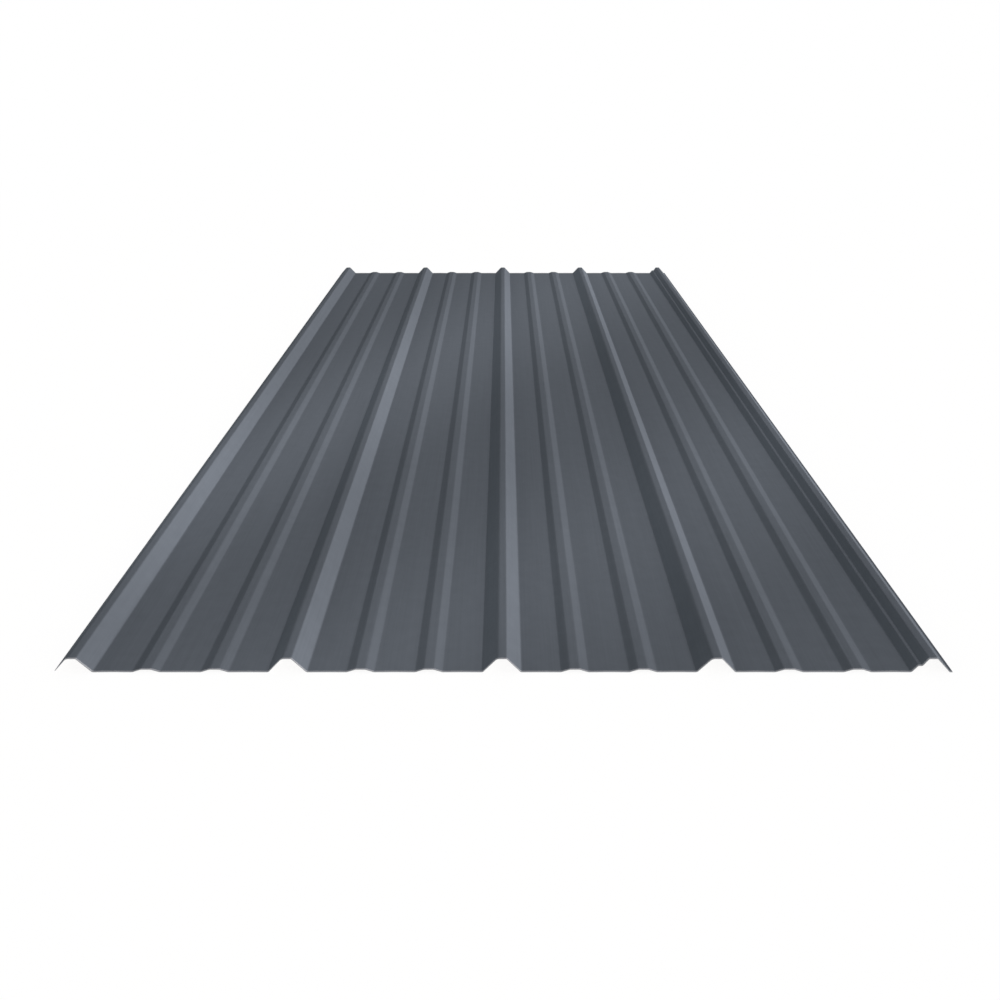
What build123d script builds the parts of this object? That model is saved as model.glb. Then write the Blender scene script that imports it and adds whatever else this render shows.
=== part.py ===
"""A roll-formed steel roofing sheet that lies flat on its pans, in millimetres.

X runs across the sheet, Y along its ribs and Z up. The origin is the middle of the
sheet's footprint, level with the underside of the pans. Looking along +Y, the rib on
the left edge laps over the next sheet, and the rib on the right edge goes under it.
"""

import os
from math import atan2, sin

from build123d import *

os.makedirs("parts", exist_ok=True)

# The sheet
sheet_length = 2133.6
sheet_thickness = 0.65

# The major ribs, one on each edge and the rest between at an even pitch
rib_pitch = 228.6
rib_count = 5
rib_height = 16.4
rib_base_width = 40.6
rib_crown_width = 10.2

# The low stiffening ribs, a pair in each pan
minor_rib_spacing = 73.0
minor_rib_height = 3.2
minor_rib_base_width = 29.2
minor_rib_crown_width = 10.3

# The overlap edge: a free leg that stops short of the pan
overlap_leg_lift = 1.7

# The underlap edge: a step in the inner flank and a toe on the outer leg
step_height = 7.8
step_width = 4.4
lower_flank_run = 6.2
upper_flank_run = 5.9
toe_width = 3.1

# Inside radii of the bends
pan_bend_radius = 3.0
soft_crown_bend_radius = 6.5
crisp_crown_bend_radius = 1.8
minor_bend_radius = 6.0
step_bend_radius = 1.2

# Worked out from the sizes above
rib_flank_run = (rib_base_width - rib_crown_width) / 2
rib_flank_slope = rib_height / rib_flank_run
overlap_leg_run = (rib_height - overlap_leg_lift) / rib_flank_slope
cut_edge_run = sheet_thickness * sin(atan2(rib_height, rib_flank_run))
overlap_reach = rib_crown_width / 2 + overlap_leg_run + cut_edge_run
underlap_reach = rib_base_width / 2 + toe_width
cover_width = rib_pitch * (rib_count - 1)
overall_width = overlap_reach + cover_width + underlap_reach
first_rib_x = overlap_reach - overall_width / 2


def crest(x, z, inside_radius):
    """A fold that points up: the underside is on the inside of the bend."""
    return (x, z, inside_radius)


def valley(x, z, inside_radius):
    """A fold that points down: the underside is on the outside of the bend."""
    return (x, z, inside_radius + sheet_thickness)


def plain_end(x, z):
    """A cut edge of the sheet."""
    return (x, z, 0)


def major_rib(x):
    """Folds of a whole major rib, whose left shoulder is the softer one."""
    return [
        valley(x - rib_base_width / 2, 0, pan_bend_radius),
        crest(x - rib_crown_width / 2, rib_height, soft_crown_bend_radius),
        crest(x + rib_crown_width / 2, rib_height, crisp_crown_bend_radius),
        valley(x + rib_base_width / 2, 0, pan_bend_radius),
    ]


def minor_rib(x):
    """Folds of one low stiffening rib."""
    return [
        valley(x - minor_rib_base_width / 2, 0, minor_bend_radius),
        crest(x - minor_rib_crown_width / 2, minor_rib_height, minor_bend_radius),
        crest(x + minor_rib_crown_width / 2, minor_rib_height, minor_bend_radius),
        valley(x + minor_rib_base_width / 2, 0, minor_bend_radius),
    ]


def pan(x):
    """Folds between two major ribs, where x is the middle of the pan."""
    return minor_rib(x - minor_rib_spacing / 2) + minor_rib(x + minor_rib_spacing / 2)


def overlap_rib(x):
    """The left edge: a major rib whose outer flank ends above the pan's level."""
    leg_end_x = x - rib_crown_width / 2 - overlap_leg_run
    return [plain_end(leg_end_x, overlap_leg_lift)] + major_rib(x)[1:]


def underlap_rib(x):
    """The right edge: a stepped inner flank, the crown, the outer leg and its toe."""
    base_x = x - rib_base_width / 2
    step_x = base_x + lower_flank_run
    crown_x = step_x + step_width + upper_flank_run
    return [
        valley(base_x, 0, pan_bend_radius),
        crest(step_x, step_height, step_bend_radius),
        valley(step_x + step_width, step_height, step_bend_radius),
        crest(crown_x, rib_height, crisp_crown_bend_radius),
        crest(x + rib_crown_width / 2, rib_height, crisp_crown_bend_radius),
        valley(x + rib_base_width / 2, 0, step_bend_radius),
        plain_end(x + rib_base_width / 2 + toe_width, 0),
    ]


def sheet_folds():
    """Every fold of the underside, from the overlap edge to the underlap edge."""
    folds = overlap_rib(first_rib_x)
    for number in range(1, rib_count):
        rib_x = first_rib_x + number * rib_pitch
        folds += pan(rib_x - rib_pitch / 2)
        folds += underlap_rib(rib_x) if number == rib_count - 1 else major_rib(rib_x)
    return folds


folds = sheet_folds()
fold_points = [(x, z) for x, z, radius in folds]
bend_radii = [radius for x, z, radius in folds[1:-1]]

with BuildPart() as ribbed_sheet:
    with BuildSketch(Plane.XZ.offset(-sheet_length / 2)):
        with BuildLine():
            FilletPolyline(fold_points, radius=bend_radii)
            offset(amount=sheet_thickness, side=Side.LEFT)
        make_face()
    extrude(amount=sheet_length)

ribbed_sheet.part.label = "ribbed_sheet"
export_step(ribbed_sheet.part, "parts/ribbed_sheet.step")
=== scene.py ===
import random
from math import atan2, cos, pi, radians, sin, tan

import bpy
from bpy.props import FloatProperty, FloatVectorProperty, IntProperty, PointerProperty
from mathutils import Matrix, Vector


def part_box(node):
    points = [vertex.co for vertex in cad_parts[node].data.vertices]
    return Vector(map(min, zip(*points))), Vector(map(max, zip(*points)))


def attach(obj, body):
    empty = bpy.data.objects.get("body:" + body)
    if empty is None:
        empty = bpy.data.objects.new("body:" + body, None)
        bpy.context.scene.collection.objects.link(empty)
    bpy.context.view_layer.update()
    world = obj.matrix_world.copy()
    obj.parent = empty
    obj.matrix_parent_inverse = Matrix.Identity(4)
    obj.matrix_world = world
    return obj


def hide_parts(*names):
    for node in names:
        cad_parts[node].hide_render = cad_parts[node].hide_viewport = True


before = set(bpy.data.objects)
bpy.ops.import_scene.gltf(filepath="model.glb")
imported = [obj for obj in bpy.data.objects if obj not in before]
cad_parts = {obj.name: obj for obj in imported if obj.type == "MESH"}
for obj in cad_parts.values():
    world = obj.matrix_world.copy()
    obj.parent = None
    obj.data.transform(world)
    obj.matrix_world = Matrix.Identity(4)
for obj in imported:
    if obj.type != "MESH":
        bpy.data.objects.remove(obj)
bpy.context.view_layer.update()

bl_info = {
    "name": "Ribbed Roofing Sheet",
    "version": (1, 0, 0),
    "blender": (4, 5, 0),
    "location": "View3D > Sidebar > Roofing Sheet",
    "description": "Rolls a ribbed steel roofing sheet with its coatings, and lays it in a plain studio",
    "category": "Add Mesh",
}

NODE = "ribbed_sheet"
NODE_LOW, NODE_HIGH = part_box(NODE)
TOPCOAT_INDEX, BACKER_INDEX, CUT_EDGE_INDEX = range(3)

# How finely the mesh is cut: steps round a bend, cuts across a flat and rows along the sheet
SHARP_TURN = radians(30)
SHARP_BEND_STEPS, GENTLE_BEND_STEPS = 6, 3
WIDE_FLAT_WIDTH = 0.03
WIDE_FLAT_CUTS, NARROW_FLAT_CUTS = 7, 1
ROW_COUNT = 72

# Faces that meet at a wider angle than this keep a hard edge between them
SMOOTH_LIMIT = radians(35)

# A flat's first and last cuts lie this far in from its bends, or this share of its width if that
# is less, so that the flat shades flat
CREASE_MARGIN = 0.0012
LARGEST_MARGIN_SHARE = 0.25

# The slow waves of the oil canning, whose rates are in radians for each metre along the sheet
SWELL_SEED = 24
SWELL_WAVES = 3
SLOWEST_SWELL, QUICKEST_SWELL = 2.5, 9.0

# The sheen bands are a painted reflection: lighter and darker stripes painted into the topcoat's colour
# Each stop of the sheen bands is a place in the fan and its lightness. A place is this share of the
# slope from the fan's centre, run across over run along, which keeps the stops between 0 and 1
PAINTED_SHEEN_SLOPE_SHARE = 0.5
PAINTED_SHEEN_STOPS = ((0.15, 0.0), (0.22, 1.0), (0.305, 0.03), (0.33, 0.03), (0.442, 0.69), (0.58, 0.0))

# What the skin's two noises add up to on average, and how strongly they sway the coating's roughness
SKIN_NOISE_MEAN = 1.0
SKIN_ROUGHNESS_SWAY = 0.12

# The distance from the sheared end, in rim widths, is added to the chip noise. Up to the first sum the
# coating is worn, and past the second it is whole
WORN_BELOW, WHOLE_ABOVE = 1.2, 1.6

# A Mix node's sockets for colours, by number because its other kinds have sockets of the same names
MIX_FACTOR, MIX_UNDER, MIX_OVER, MIX_RESULT = 0, 6, 7, 2

# The floor turns to plain white between these distances from the middle of the sheet
FLOOR_FADE_START, FLOOR_FADE_END = 1.5, 4.0


def length(name, description, default):
    """A size in metres that the sidebar shows in the scene's own unit."""
    return FloatProperty(
        name=name, description=description, default=default, min=0.0,
        unit="LENGTH", subtype="DISTANCE", precision=5,
    )


def colour(name, description, default):
    """A linear colour with a swatch in the sidebar."""
    return FloatVectorProperty(
        name=name, description=description, default=default, min=0.0, max=1.0,
        size=3, subtype="COLOR",
    )


def share(name, description, default, highest=1.0):
    """A plain factor from nothing upwards."""
    return FloatProperty(
        name=name, description=description, default=default, min=0.0, max=highest,
        subtype="FACTOR",
    )


def angle(name, description, degrees):
    """An angle up to a right angle, given in degrees."""
    return FloatProperty(
        name=name, description=description, default=radians(degrees), min=0.0, max=pi / 2,
        unit="ROTATION", subtype="ANGLE",
    )


class SheetSizes(bpy.types.PropertyGroup):
    """The section and the run of the sheet."""

    sheet_length: length("Length", "Length along the ribs", NODE_HIGH[1] - NODE_LOW[1])
    thickness: length("Thickness", "Gauge of the steel with its coatings", 0.00065)
    rib_pitch: length("Rib pitch", "Centre of one major rib to the next", 0.2286)
    rib_count: IntProperty(
        name="Major ribs", description="Major ribs, the two edge ribs included",
        default=5, min=2, max=12,
    )
    rib_height: length("Rib height", "Pan to crown", 0.0164)
    rib_base_width: length("Rib base", "Width of a major rib at the pan", 0.0406)
    rib_crown_width: length("Rib crown", "Width of a major rib's crown", 0.0102)
    minor_spacing: length("Minor spacing", "Centre to centre of the low ribs in a pan", 0.073)
    minor_height: length("Minor height", "Pan to the top of a low rib", 0.0032)
    minor_base_width: length("Minor base", "Width of a low rib at the pan", 0.0292)
    minor_crown_width: length("Minor crown", "Width of a low rib's crown", 0.0103)
    overlap_lift: length("Overlap lift", "Gap under the free leg of the overlap rib", 0.0017)
    step_height: length("Step height", "Pan to the step of the underlap rib", 0.0078)
    step_width: length("Step width", "Width of the step of the underlap rib", 0.0044)
    lower_flank_run: length("Lower flank run", "Run of the flank below the step", 0.0062)
    upper_flank_run: length("Upper flank run", "Run of the flank above the step", 0.0059)
    toe_width: length("Toe width", "Width of the toe on the underlap rib's leg", 0.0031)
    pan_bend: length("Pan bend", "Inside radius where a flank meets the pan", 0.003)
    soft_bend: length("Soft shoulder", "Inside radius of a rib's left shoulder", 0.0065)
    crisp_bend: length("Crisp shoulder", "Inside radius of a rib's right shoulder", 0.0018)
    minor_bend: length("Minor bend", "Inside radius of the low ribs' bends", 0.006)
    step_bend: length("Step bend", "Inside radius of the bends of the step and the toe", 0.0012)
    canning: length("Oil canning", "How far the flats of the pans swell", 0.00025)


class SheetFinish(bpy.types.PropertyGroup):
    """The coatings of the sheet."""

    topcoat: colour("Topcoat", "Slate grey of the weather side", (0.0888, 0.1002, 0.117))
    backer: colour("Backer", "Pale wash coat of the underside", (0.36, 0.35, 0.325))
    cut_steel: colour("Cut edge", "Bare steel and zinc where the sheet was sheared", (0.36, 0.365, 0.385))
    roughness: share("Roughness", "Satin of the topcoat", 0.72)
    gloss: share("Gloss", "Specular level of the topcoat, which shows no glare at its far end", 0.005)
    # Painted sheen: how dark and light the painted reflection bands make the topcoat's colour, and where
    # they fan from
    painted_sheen_darkest: share("Band darkest", "Share of the topcoat's colour between the sheen bands", 0.885, 2.0)
    painted_sheen_lightest: share("Band lightest", "Share of the topcoat's colour on the strongest band", 1.17, 2.0)
    painted_sheen_centre: FloatVectorProperty(
        name="Band centre", description="Point that the sheen bands fan out from",
        default=(-1.205, -2.26, 0.0), size=3, subtype="TRANSLATION", unit="LENGTH",
    )
    grain_height: length("Grain height", "Depth of the coating's fine skin", 0.00003)
    rim_width: length("Rim width", "How far in from the sheared ends the coating is worn", 0.0021)


class StudioSettings(bpy.types.PropertyGroup):
    """The floor, the lamps and the camera."""

    floor_colour: colour("Floor", "Colour of the floor", (0.97, 0.97, 0.97))
    floor_lift: share("Floor white", "Share of plain white that the floor shows", 0.8)
    ambient: share("Room light", "Strength of the light from all round", 0.57, 4.0)
    key_strength: share("Key", "Strength of the low wide lamp on the right", 4.86, 20.0)
    key_tint: colour("Key tint", "Colour of the low lamp on the right", (1.0, 0.97, 0.96))
    key_elevation: angle("Key elevation", "Height of the low lamp above the floor", 17.0)
    fill_strength: share("Fill", "Strength of the low wide lamp on the left", 0.5, 20.0)
    fill_tint: colour("Fill tint", "Colour of the low lamp on the left", (0.9, 1.0, 1.0))
    fill_elevation: angle("Fill elevation", "Height of the left lamp above the floor", 6.0)
    lamp_spread: angle("Lamp spread", "How wide the diffuser of each lamp looks", 30.0)
    camera_lens: FloatProperty(
        name="Lens", description="Focal length in millimetres on a 36 mm sensor",
        default=36.926, min=1.0,
    )
    camera_tilt: angle("Tilt", "How far the camera looks down", 23.694)
    camera_height: length("Camera height", "Camera above the floor", 0.60758)
    camera_reach: length("Camera distance", "Camera to the near end of the sheet", 0.92746)
    camera_side: FloatProperty(
        name="Camera side", description="Camera to the right of the sheet's middle",
        default=-0.00053, unit="LENGTH", subtype="DISTANCE", precision=5,
    )


# The section of the sheet


def crest(x, z, inside):
    """A fold that points up, with the underside on its inside."""
    return (x, z, inside)


def valley(sizes, x, z, inside):
    """A fold that points down, with the underside on its outside."""
    return (x, z, inside + sizes.thickness)


def plain_end(x, z):
    """A cut edge of the sheet."""
    return (x, z, 0)


def major_rib(sizes, x):
    """Folds of a whole major rib, from left to right."""
    half_base, half_crown = sizes.rib_base_width / 2, sizes.rib_crown_width / 2
    return [
        valley(sizes, x - half_base, 0, sizes.pan_bend),
        crest(x - half_crown, sizes.rib_height, sizes.soft_bend),
        crest(x + half_crown, sizes.rib_height, sizes.crisp_bend),
        valley(sizes, x + half_base, 0, sizes.pan_bend),
    ]


def minor_rib(sizes, x):
    """Folds of one low stiffening rib."""
    half_base, half_crown = sizes.minor_base_width / 2, sizes.minor_crown_width / 2
    return [
        valley(sizes, x - half_base, 0, sizes.minor_bend),
        crest(x - half_crown, sizes.minor_height, sizes.minor_bend),
        crest(x + half_crown, sizes.minor_height, sizes.minor_bend),
        valley(sizes, x + half_base, 0, sizes.minor_bend),
    ]


def overlap_run(sizes):
    """Run of the overlap rib's free leg."""
    flank_run = (sizes.rib_base_width - sizes.rib_crown_width) / 2
    return (sizes.rib_height - sizes.overlap_lift) * flank_run / sizes.rib_height


def overlap_rib(sizes, x):
    """The left edge, whose outer leg ends above the pan's level."""
    leg_end = x - sizes.rib_crown_width / 2 - overlap_run(sizes)
    return [plain_end(leg_end, sizes.overlap_lift)] + major_rib(sizes, x)[1:]


def underlap_rib(sizes, x):
    """The right edge: a stepped inner flank, the crown, the outer leg and its toe."""
    base = x - sizes.rib_base_width / 2
    step = base + sizes.lower_flank_run
    crown = step + sizes.step_width + sizes.upper_flank_run
    leg_foot = x + sizes.rib_base_width / 2
    return [
        valley(sizes, base, 0, sizes.pan_bend),
        crest(step, sizes.step_height, sizes.step_bend),
        valley(sizes, step + sizes.step_width, sizes.step_height, sizes.step_bend),
        crest(crown, sizes.rib_height, sizes.crisp_bend),
        crest(x + sizes.rib_crown_width / 2, sizes.rib_height, sizes.crisp_bend),
        valley(sizes, leg_foot, 0, sizes.step_bend),
        plain_end(leg_foot + sizes.toe_width, 0),
    ]


def sheet_folds(sizes):
    """Every fold of the underside, from the overlap edge to the underlap edge."""
    underlap_reach = sizes.rib_base_width / 2 + sizes.toe_width
    last_rib = NODE_HIGH[0] - underlap_reach
    first_rib = last_rib - sizes.rib_pitch * (sizes.rib_count - 1)
    folds = overlap_rib(sizes, first_rib)
    for number in range(1, sizes.rib_count):
        rib = first_rib + number * sizes.rib_pitch
        pan_middle = rib - sizes.rib_pitch / 2
        folds += minor_rib(sizes, pan_middle - sizes.minor_spacing / 2)
        folds += minor_rib(sizes, pan_middle + sizes.minor_spacing / 2)
        folds += underlap_rib(sizes, rib) if number == sizes.rib_count - 1 else major_rib(sizes, rib)
    return folds


class Station:
    """One point of the underside, with the way the sheet runs there and how much it can swell."""

    def __init__(self, point, run, swell=0.0, flat=0):
        self.point, self.run, self.swell, self.flat = point, run, swell, flat

    def corner(self, thickness, top):
        """The point of the top side or the underside."""
        face = Vector((-self.run.y, self.run.x)) * (thickness if top else 0.0)
        return self.point + face


def bend_stations(before, fold, after):
    """Stations round one bend, both tangent points included."""
    point, radius = Vector(fold[:2]), fold[2]
    run_in = (point - Vector(before[:2])).normalized()
    run_out = (Vector(after[:2]) - point).normalized()
    turn = atan2(run_in.x * run_out.y - run_in.y * run_out.x, run_in.dot(run_out))
    side = 1 if turn > 0 else -1
    start = point - run_in * radius * tan(abs(turn) / 2)
    centre = start + Vector((-run_in.y, run_in.x)) * side * radius
    steps = SHARP_BEND_STEPS if abs(turn) > SHARP_TURN else GENTLE_BEND_STEPS
    stations = []
    for step in range(steps + 1):
        turned = turn * step / steps
        run = Vector((
            run_in.x * cos(turned) - run_in.y * sin(turned),
            run_in.x * sin(turned) + run_in.y * cos(turned),
        ))
        outward = Vector((-run.y, run.x)) * side * radius
        stations.append(Station(centre - outward, run))
    return stations


def flat_stations(start, end, number):
    """Stations along a flat, where only a wide flat swells."""
    span = end.point - start.point
    margin = min(CREASE_MARGIN / span.length, LARGEST_MARGIN_SHARE)
    wide = span.length > WIDE_FLAT_WIDTH
    cuts = WIDE_FLAT_CUTS if wide else NARROW_FLAT_CUTS
    places = [margin + (1 - 2 * margin) * cut / cuts for cut in range(cuts + 1)]
    return [
        Station(start.point + span * place, start.run, sin(pi * place) ** 2 if wide else 0.0, number)
        for place in places
    ]


def section_stations(sizes):
    """Stations of the whole section, from the overlap edge to the underlap edge."""
    folds = sheet_folds(sizes)
    bends = [bend_stations(*folds[place - 1:place + 2]) for place in range(1, len(folds) - 1)]
    first = Station(Vector(folds[0][:2]), bends[0][0].run)
    last = Station(Vector(folds[-1][:2]), bends[-1][-1].run)
    runs = [[first]] + bends + [[last]]
    stations = []
    for number, (here, following) in enumerate(zip(runs, runs[1:])):
        stations += here
        stations += flat_stations(here[-1], following[0], number)
    return stations + runs[-1]


def swell_waves(flat_count):
    """The rates and phases of each flat's slow waves, drawn from one seed."""
    draw = random.Random(SWELL_SEED)

    def wave():
        """One wave's rate and phase, drawn in that order."""
        return (draw.uniform(SLOWEST_SWELL, QUICKEST_SWELL), draw.uniform(0, 2 * pi))

    return [[wave() for number in range(SWELL_WAVES)] for flat in range(flat_count)]


def swell_height(sizes, station, waves, y):
    """How far a flat stands up at this place along the sheet."""
    if not station.swell:
        return 0.0
    height = sum(0.5 + 0.5 * sin(rate * y + phase) for rate, phase in waves[station.flat]) / SWELL_WAVES
    return sizes.canning * station.swell * height


def sheet_mesh(sizes):
    """The sheet as one closed shell: the top side, the underside and the sheared edges."""
    stations = section_stations(sizes)
    waves = swell_waves(len(stations))
    half = sizes.sheet_length / 2
    rows = [-half + sizes.sheet_length * row / ROW_COUNT for row in range(ROW_COUNT + 1)]
    count = len(stations)
    vertices = []
    for y in rows:
        for top in (False, True):
            for station in stations:
                corner = station.corner(sizes.thickness, top)
                vertices.append((corner.x, y, corner.y + swell_height(sizes, station, waves, y)))

    faces, finishes = [], []

    def add(finish, *corners):
        """Adds a face, whose corners are each a row, 1 for the top side or 0, and a station."""
        faces.append([(row * 2 + top) * count + place for row, top, place in corners])
        finishes.append(finish)

    far = count - 1
    for row in range(ROW_COUNT):
        beyond = row + 1
        for place in range(far):
            beside = place + 1
            add(TOPCOAT_INDEX, (row, 1, place), (row, 1, beside), (beyond, 1, beside), (beyond, 1, place))
            add(BACKER_INDEX, (row, 0, place), (beyond, 0, place), (beyond, 0, beside), (row, 0, beside))
        add(CUT_EDGE_INDEX, (row, 0, 0), (row, 1, 0), (beyond, 1, 0), (beyond, 0, 0))
        add(CUT_EDGE_INDEX, (row, 0, far), (beyond, 0, far), (beyond, 1, far), (row, 1, far))
    last = ROW_COUNT
    for place in range(far):
        beside = place + 1
        add(CUT_EDGE_INDEX, (0, 0, place), (0, 0, beside), (0, 1, beside), (0, 1, place))
        add(CUT_EDGE_INDEX, (last, 0, place), (last, 1, place), (last, 1, beside), (last, 0, beside))

    mesh = bpy.data.meshes.new("coated_sheet")
    mesh.from_pydata(vertices, [], faces)
    mesh.polygons.foreach_set("material_index", finishes)
    mesh.polygons.foreach_set("use_smooth", [True] * len(faces))
    mesh.set_sharp_from_angle(angle=SMOOTH_LIMIT)
    mesh.validate()
    mesh.update()
    return mesh


# Shader helpers


def feed(tree, socket, source):
    """Links a socket to another one, or gives it a plain value."""
    if isinstance(source, bpy.types.NodeSocket):
        tree.links.new(source, socket)
    else:
        socket.default_value = source


def node_of(tree, kind, place, *operands, **settings):
    """A new node, with its settings and inputs by name and its operands in the order of its inputs."""
    node = tree.nodes.new(kind)
    node.location = place
    for key, value in settings.items():
        if key in node.inputs:
            feed(tree, node.inputs[key], value)
        else:
            setattr(node, key, value)
    for socket, operand in zip(node.inputs, operands):
        feed(tree, socket, operand)
    return node


def object_point(tree, place):
    """The place on the piece, in its own frame."""
    return node_of(tree, "ShaderNodeTexCoord", place).outputs["Object"]


def maths(tree, operation, place, *operands):
    """The result of one sum on sockets or plain numbers."""
    return node_of(tree, "ShaderNodeMath", place, *operands, operation=operation).outputs[0]


def noise(tree, place, point, **settings):
    """A cloud of noise round a half."""
    return node_of(tree, "ShaderNodeTexNoise", place, Vector=point, **settings).outputs["Fac"]


def stretched(tree, place, point, scale):
    """A point scaled by its own factor along each axis."""
    return node_of(tree, "ShaderNodeMapping", place, Vector=point, Scale=scale).outputs[0]


def remapped(tree, place, value, from_low, from_high, to_low, to_high, **settings):
    """A value carried over from one range to another, and kept inside it."""
    ends = (from_low, from_high, to_low, to_high)
    return node_of(tree, "ShaderNodeMapRange", place, value, *ends, **settings).outputs[0]


def scaled(tree, place, colour_in, gain):
    """A colour made darker or lighter by a gain."""
    shade = node_of(tree, "ShaderNodeVectorMath", place, colour_in, operation="SCALE")
    feed(tree, shade.inputs["Scale"], gain)
    return shade.outputs[0]


# The shader groups that the coatings share


def new_group(name, inputs, outputs):
    """A shader node group with its two end nodes, then the sockets of what it is given and makes."""
    group = bpy.data.node_groups.new(name, "ShaderNodeTree")
    for socket, kind, default in inputs:
        made = group.interface.new_socket(socket, in_out="INPUT", socket_type=kind)
        made.default_value = default
    for socket, kind in outputs:
        group.interface.new_socket(socket, in_out="OUTPUT", socket_type=kind)
    start = node_of(group, "NodeGroupInput", (-900, 0))
    end = node_of(group, "NodeGroupOutput", (700, 0))
    return group, start.outputs, end.inputs


def coil_skin_group():
    """The skin of a coil coating: fine orange peel, a slight mottle and faint roller lines."""
    group, given, made = new_group(
        "Coil coating skin",
        [
            ("Colour", "NodeSocketColor", (0.5, 0.5, 0.5, 1)),
            ("Roughness", "NodeSocketFloat", 0.4),
            ("Mottle", "NodeSocketFloat", 0.03),
            ("Peel Scale", "NodeSocketFloat", 900.0),
        ],
        [("Colour", "NodeSocketColor"), ("Roughness", "NodeSocketFloat"), ("Height", "NodeSocketFloat")],
    )
    where = object_point(group, (-900, 300))
    peel = noise(group, (-500, -300), where, Scale=given["Peel Scale"], Detail=2.0, Roughness=0.5)
    mottle = noise(group, (-500, 200), where, Scale=55.0, Detail=4.0, Roughness=0.6)
    along_the_ribs = stretched(group, (-700, 0), where, (1.0, 0.012, 1.0))
    lines = noise(group, (-500, -50), along_the_ribs, Scale=420.0, Detail=2.0, Roughness=0.6)

    both = maths(group, "ADD", (-300, 100), mottle, lines)
    centred = maths(group, "SUBTRACT", (-120, 100), both, SKIN_NOISE_MEAN)
    depth = maths(group, "MULTIPLY", (60, 100), centred, given["Mottle"])
    gain = maths(group, "ADD", (220, 100), depth, 1.0)
    satin = maths(group, "MULTIPLY_ADD", (400, 0), centred, SKIN_ROUGHNESS_SWAY, given["Roughness"])
    feed(group, made["Colour"], scaled(group, (400, 200), given["Colour"], gain))
    feed(group, made["Roughness"], satin)
    feed(group, made["Height"], peel)


def painted_sheen_group():
    """A painted sheen: two broad soft bands, lighter and darker in the colour, that fan out across the
    sheet from a point beyond its near left corner.
    """
    group, given, made = new_group(
        "Painted sheen bands",
        [
            ("Colour", "NodeSocketColor", (0.5, 0.5, 0.5, 1)),
            ("Fan Centre", "NodeSocketVector", (-1.0, -2.0, 0.0)),
            ("Darkest", "NodeSocketFloat", 0.9),
            ("Lightest", "NodeSocketFloat", 1.1),
        ],
        [("Colour", "NodeSocketColor")],
    )
    where = object_point(group, (-900, 300))
    centre = given["Fan Centre"]
    away = node_of(group, "ShaderNodeVectorMath", (-700, 300), where, centre, operation="SUBTRACT")
    split = node_of(group, "ShaderNodeSeparateXYZ", (-500, 300), away.outputs[0])
    slant = maths(group, "DIVIDE", (-300, 300), split.outputs["X"], split.outputs["Y"])
    place = maths(group, "MULTIPLY", (-120, 300), slant, PAINTED_SHEEN_SLOPE_SHARE)
    bands = node_of(group, "ShaderNodeValToRGB", (60, 300), place)
    ramp = bands.color_ramp
    ramp.interpolation = "EASE"
    while len(ramp.elements) > 1:
        ramp.elements.remove(ramp.elements[-1])
    ramp.elements[0].position, ramp.elements[0].color = PAINTED_SHEEN_STOPS[0][0], (0, 0, 0, 1)
    for stop, lightness in PAINTED_SHEEN_STOPS[1:]:
        ramp.elements.new(stop).color = (lightness, lightness, lightness, 1)
    band = bands.outputs["Color"]
    # Painted reflection: the bands lighten and darken the colour as a sheen would
    gain = remapped(group, (330, 300), band, 0.0, 1.0, given["Darkest"], given["Lightest"])
    feed(group, made["Colour"], scaled(group, (520, 200), given["Colour"], gain))


def sheared_rim_group():
    """The bright rim where the shear thinned the coating at the two ends of the sheet."""
    group, given, made = new_group(
        "Sheared rim wear",
        [
            ("Colour", "NodeSocketColor", (0.5, 0.5, 0.5, 1)),
            ("Metal", "NodeSocketColor", (0.3, 0.3, 0.3, 1)),
            ("Half Length", "NodeSocketFloat", 1.0),
            ("Rim Width", "NodeSocketFloat", 0.001),
            ("Amount", "NodeSocketFloat", 0.8),
        ],
        [("Colour", "NodeSocketColor"), ("Mask", "NodeSocketFloat")],
    )
    where = object_point(group, (-900, 300))
    split = node_of(group, "ShaderNodeSeparateXYZ", (-700, 300), where)
    along = maths(group, "ABSOLUTE", (-500, 300), split.outputs["Y"])
    inside = maths(group, "SUBTRACT", (-320, 300), given["Half Length"], along)
    rims_in = maths(group, "DIVIDE", (-140, 300), inside, given["Rim Width"])
    chips = noise(group, (-500, 0), where, Scale=650.0, Detail=3.0, Roughness=0.65)
    ragged = maths(group, "ADD", (40, 200), rims_in, chips)
    worn = remapped(
        group, (200, 200), ragged, WORN_BELOW, WHOLE_ABOVE, 1.0, 0.0, interpolation_type="SMOOTHSTEP",
    )
    mask = maths(group, "MULTIPLY", (360, 200), worn, given["Amount"])
    mixed = node_of(group, "ShaderNodeMix", (520, 100), data_type="RGBA")
    feed(group, mixed.inputs[MIX_FACTOR], mask)
    feed(group, mixed.inputs[MIX_UNDER], given["Colour"])
    feed(group, mixed.inputs[MIX_OVER], given["Metal"])
    feed(group, made["Colour"], mixed.outputs[MIX_RESULT])
    feed(group, made["Mask"], mask)


# The materials


def new_material(name):
    """A material that holds only the Principled shader and its output, then its tree and that shader."""
    material = bpy.data.materials.new(name)
    material.use_nodes = True
    tree = material.node_tree
    tree.nodes.clear()
    surface = node_of(tree, "ShaderNodeBsdfPrincipled", (300, 0))
    node_of(tree, "ShaderNodeOutputMaterial", (600, 0), Surface=surface.outputs[0])
    return material, tree, surface


def placed(tree, group_name, place, **values):
    """One of the shared groups with its own values, where an underscore stands for a space."""
    node = node_of(tree, "ShaderNodeGroup", place, node_tree=bpy.data.node_groups[group_name])
    for socket, value in values.items():
        feed(tree, node.inputs[socket.replace("_", " ")], value)
    return node


def bumped(tree, surface, height, strength, distance):
    """Gives the shader the relief of a height."""
    bump = node_of(tree, "ShaderNodeBump", (50, -250), Strength=strength, Distance=distance, Height=height)
    feed(tree, surface.inputs["Normal"], bump.outputs["Normal"])


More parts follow.
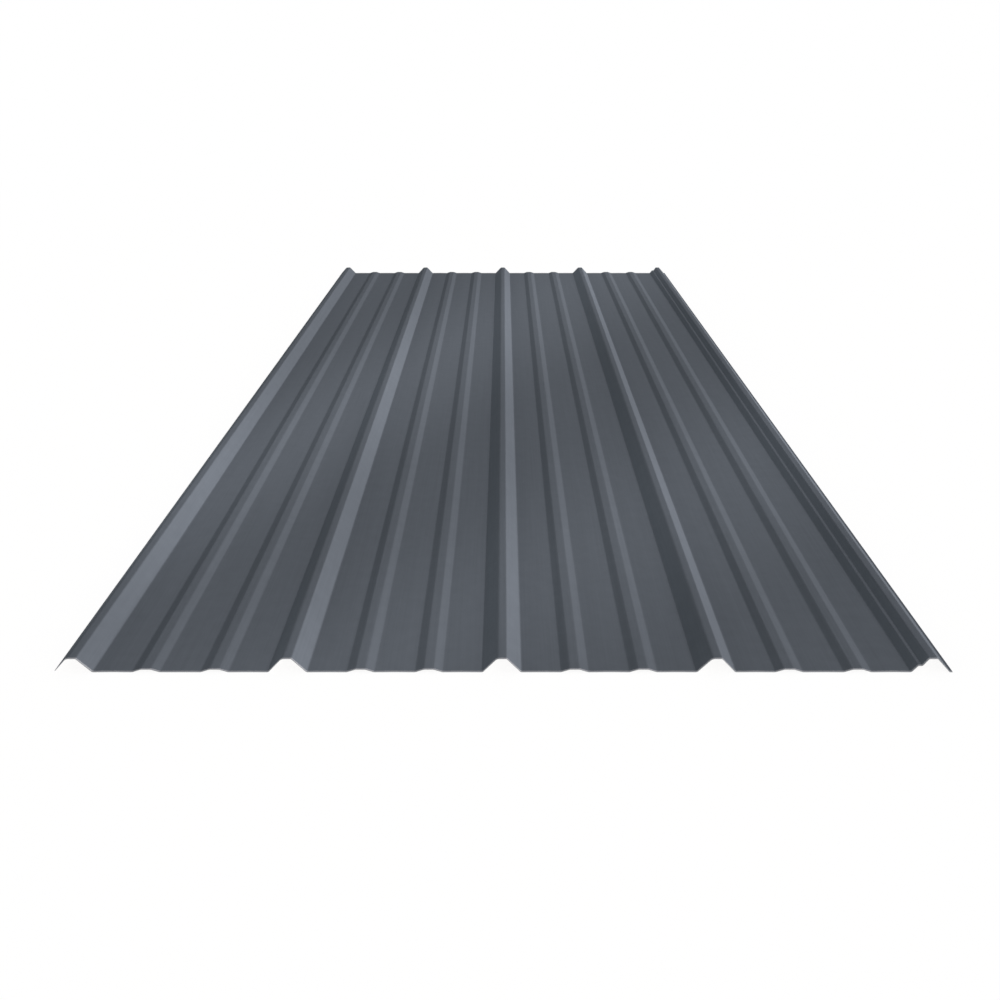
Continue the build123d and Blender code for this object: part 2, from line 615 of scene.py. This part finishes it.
def coated(tree, surface, skin, rim, grain_height):
    """Runs the coating's skin through the worn rim, and on to the shader."""
    feed(tree, rim.inputs["Colour"], skin.outputs["Colour"])
    feed(tree, surface.inputs["Base Color"], rim.outputs["Colour"])
    feed(tree, surface.inputs["Metallic"], rim.outputs["Mask"])
    feed(tree, surface.inputs["Roughness"], skin.outputs["Roughness"])
    bumped(tree, surface, skin.outputs["Height"], 1.0, grain_height)


def worn_rim(tree, sizes, finish, amount):
    """The sheared rim with this sheet's size."""
    return placed(
        tree, "Sheared rim wear", (0, 150), Metal=(*finish.cut_steel, 1),
        Half_Length=sizes.sheet_length / 2, Rim_Width=finish.rim_width, Amount=amount,
    )


def topcoat_material(sizes, finish):
    """Satin slate-grey paint of the weather side, with a painted sheen of slanting bands in its colour."""
    material, tree, surface = new_material("slate_topcoat")
    # Painted sheen: slanting bands of painted reflection lighten and darken the topcoat's colour
    bands = placed(
        tree, "Painted sheen bands", (-500, 0), Colour=(*finish.topcoat, 1),
        Fan_Centre=finish.painted_sheen_centre, Darkest=finish.painted_sheen_darkest, Lightest=finish.painted_sheen_lightest,
    )
    skin = placed(
        tree, "Coil coating skin", (-250, 0), Colour=bands.outputs["Colour"],
        Roughness=finish.roughness, Mottle=0.16, Peel_Scale=850.0,
    )
    coated(tree, surface, skin, worn_rim(tree, sizes, finish, amount=0.55), finish.grain_height)
    surface.inputs["Specular IOR Level"].default_value = finish.gloss
    return material


def backer_material(sizes, finish):
    """Pale matte wash coat of the underside, with a coarser skin."""
    material, tree, surface = new_material("pale_backer_coat")
    skin = placed(
        tree, "Coil coating skin", (-250, 0), Colour=(*finish.backer, 1),
        Roughness=0.7, Mottle=0.16, Peel_Scale=600.0,
    )
    coarser = 1.5
    coated(tree, surface, skin, worn_rim(tree, sizes, finish, amount=0.3), finish.grain_height * coarser)
    surface.inputs["Specular IOR Level"].default_value = 0.2
    return material


def cut_edge_material(finish):
    """Bare sheared steel, with the fine lines that the blade leaves across it."""
    material, tree, surface = new_material("sheared_steel_edge")
    across = stretched(tree, (-700, 0), object_point(tree, (-900, 0)), (1.0, 1.0, 0.05))
    lines = noise(tree, (-500, 0), across, Scale=2600.0, Detail=2.0)
    darkest, lightest = 0.75, 1.0
    gain = remapped(tree, (-400, -200), lines, 0.0, 1.0, darkest, lightest)
    feed(tree, surface.inputs["Base Color"], scaled(tree, (-250, 0), finish.cut_steel, gain))
    bumped(tree, surface, lines, strength=0.5, distance=0.00002)
    surface.inputs["Metallic"].default_value = 0.35
    surface.inputs["Roughness"].default_value = 0.5
    return material


def white_for_eye_rays(tree, place):
    """One where a ray comes from the camera, a gloss or a clear surface, and nothing elsewhere."""
    path = node_of(tree, "ShaderNodeLightPath", place).outputs
    across, down = place
    seen = maths(tree, "MAXIMUM", (across + 200, down), path["Is Camera Ray"], path["Is Glossy Ray"])
    return maths(tree, "MAXIMUM", (across + 400, down), seen, path["Is Transmission Ray"])


def floor_material(studio):
    """A pale floor that shows nearly white but still takes the sheet's shadow."""
    material, tree, surface = new_material("studio_floor")
    surface.inputs["Base Color"].default_value = (*studio.floor_colour, 1)
    surface.inputs["Roughness"].default_value = 0.9
    surface.inputs["Specular IOR Level"].default_value = 0.0
    away = node_of(
        tree, "ShaderNodeVectorMath", (-500, 600), object_point(tree, (-700, 600)), operation="LENGTH",
    )
    lift = remapped(
        tree, (-300, 600), away.outputs["Value"], FLOOR_FADE_START, FLOOR_FADE_END,
        studio.floor_lift, 1.0, interpolation_type="SMOOTHSTEP",
    )
    amount = maths(tree, "MULTIPLY", (300, 300), white_for_eye_rays(tree, (-500, 300)), lift)
    white = node_of(tree, "ShaderNodeEmission", (300, -400))
    mixed = node_of(
        tree, "ShaderNodeMixShader", (600, -200), amount, surface.outputs[0], white.outputs[0],
    )
    feed(tree, tree.get_output_node("ALL").inputs["Surface"], mixed.outputs[0])
    return material


def room_world(studio):
    """An even grey room whose walls look white to the eye."""
    world = bpy.data.worlds.new("studio_room")
    world.use_nodes = True
    tree = world.node_tree
    tree.nodes.clear()
    white = (1.0, 1.0, 1.0, 1)
    light = node_of(tree, "ShaderNodeBackground", (100, 100), Color=white, Strength=studio.ambient)
    seen = node_of(tree, "ShaderNodeBackground", (100, -100), Color=white, Strength=1.0)
    amount = white_for_eye_rays(tree, (-600, 300))
    mixed = node_of(tree, "ShaderNodeMixShader", (350, 0), amount, light.outputs[0], seen.outputs[0])
    node_of(tree, "ShaderNodeOutputWorld", (550, 0), Surface=mixed.outputs[0])
    return world


# The studio


def soft_sun(context, name, elevation, azimuth, strength, tint, spread):
    """A far, wide lamp that casts no shadow, because no rib in the photo shades a pan."""
    lamp = bpy.data.lights.new(name, "SUN")
    lamp.energy = strength
    lamp.color = tint
    lamp.angle = spread
    lamp.use_shadow = False
    holder = bpy.data.objects.new(name, lamp)
    level = cos(elevation)
    towards = Vector((level * cos(azimuth), level * sin(azimuth), sin(elevation)))
    distance = 3.0
    holder.location = towards * distance
    holder.rotation_mode = "QUATERNION"
    holder.rotation_quaternion = (-towards).to_track_quat("-Z", "Y")
    context.collection.objects.link(holder)


def hang_lamps(context, studio):
    """The key from the right and the fill from the left, both low."""
    right, left = 0.0, pi
    key, fill = (studio.key_strength, studio.key_tint), (studio.fill_strength, studio.fill_tint)
    soft_sun(context, "key_lamp", studio.key_elevation, right, *key, studio.lamp_spread)
    soft_sun(context, "fill_lamp", studio.fill_elevation, left, *fill, studio.lamp_spread)


def lay_floor(context, studio):
    """A wide square floor just under the pans."""
    reach, drop = 60.0, 0.0002
    mesh = bpy.data.meshes.new("studio_floor")
    corners = [(-reach, -reach), (reach, -reach), (reach, reach), (-reach, reach)]
    mesh.from_pydata([(x, y, NODE_LOW[2] - drop) for x, y in corners], [], [(0, 1, 2, 3)])
    mesh.materials.append(floor_material(studio))
    floor = bpy.data.objects.new("studio_floor", mesh)
    context.collection.objects.link(floor)


def set_camera(context, studio):
    """An upright camera before the near end, tilted down, with the photo's small sideways shift."""
    pixels_across, pixels_aside = 1000, 3.257
    data = bpy.data.cameras.new("photo_camera")
    data.sensor_width = 36.0
    data.lens = studio.camera_lens
    data.shift_x = -pixels_aside / pixels_across
    camera = bpy.data.objects.new("photo_camera", data)
    camera.location = (studio.camera_side, NODE_LOW[1] - studio.camera_reach, studio.camera_height)
    camera.rotation_euler = (pi / 2 - studio.camera_tilt, 0.0, 0.0)
    context.collection.objects.link(camera)
    context.scene.camera = camera


# The operators


class ROOFING_SHEET_OT_make_groups(bpy.types.Operator):
    """Makes the shader groups that the coatings share."""

    bl_idname = "roofing_sheet.make_groups"
    bl_label = "Make Coating Groups"

    def execute(self, context):
        coil_skin_group()
        painted_sheen_group()
        sheared_rim_group()
        return {"FINISHED"}


class ROOFING_SHEET_OT_roll_sheet(bpy.types.Operator):
    """Rolls the ribbed sheet and paints its two sides and its sheared edges."""

    bl_idname = "roofing_sheet.roll_sheet"
    bl_label = "Roll Sheet"

    def execute(self, context):
        sizes, finish = context.scene.sheet_sizes, context.scene.sheet_finish
        mesh = sheet_mesh(sizes)
        mesh.materials.append(topcoat_material(sizes, finish))
        mesh.materials.append(backer_material(sizes, finish))
        mesh.materials.append(cut_edge_material(finish))
        piece = bpy.data.objects.new("coated_sheet", mesh)
        context.collection.objects.link(piece)
        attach(piece, "root")
        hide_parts(NODE)
        return {"FINISHED"}


class ROOFING_SHEET_OT_set_studio(bpy.types.Operator):
    """Lays the floor, hangs the lamps and sets the camera at the near end of the sheet."""

    bl_idname = "roofing_sheet.set_studio"
    bl_label = "Set Studio"

    def execute(self, context):
        studio = context.scene.sheet_studio
        lay_floor(context, studio)
        context.scene.world = room_world(studio)
        hang_lamps(context, studio)
        set_camera(context, studio)
        context.scene.view_settings.view_transform = "Standard"
        return {"FINISHED"}


OPERATORS = (ROOFING_SHEET_OT_make_groups, ROOFING_SHEET_OT_roll_sheet, ROOFING_SHEET_OT_set_studio)


class ROOFING_SHEET_PT_sidebar(bpy.types.Panel):
    """Sizes, coatings and studio of the roofing sheet."""

    bl_idname = "ROOFING_SHEET_PT_sidebar"
    bl_label = "Ribbed Roofing Sheet"
    bl_space_type = "VIEW_3D"
    bl_region_type = "UI"
    bl_category = "Roofing Sheet"

    def draw(self, context):
        scene = context.scene
        for settings in (scene.sheet_sizes, scene.sheet_finish, scene.sheet_studio):
            box = self.layout.box()
            for name in settings.__annotations__:
                box.prop(settings, name)
        for operator in OPERATORS:
            self.layout.operator(operator.bl_idname)


CLASSES = (SheetSizes, SheetFinish, StudioSettings, *OPERATORS, ROOFING_SHEET_PT_sidebar)


def register():
    for made in CLASSES:
        bpy.utils.register_class(made)
    bpy.types.Scene.sheet_sizes = PointerProperty(type=SheetSizes)
    bpy.types.Scene.sheet_finish = PointerProperty(type=SheetFinish)
    bpy.types.Scene.sheet_studio = PointerProperty(type=StudioSettings)


def unregister():
    del bpy.types.Scene.sheet_studio
    del bpy.types.Scene.sheet_finish
    del bpy.types.Scene.sheet_sizes
    for made in reversed(CLASSES):
        bpy.utils.unregister_class(made)


def main():
    """Registers the add-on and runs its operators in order."""
    register()
    bpy.ops.roofing_sheet.make_groups()
    bpy.ops.roofing_sheet.roll_sheet()
    bpy.ops.roofing_sheet.set_studio()


if __name__ == "__main__":
    main()
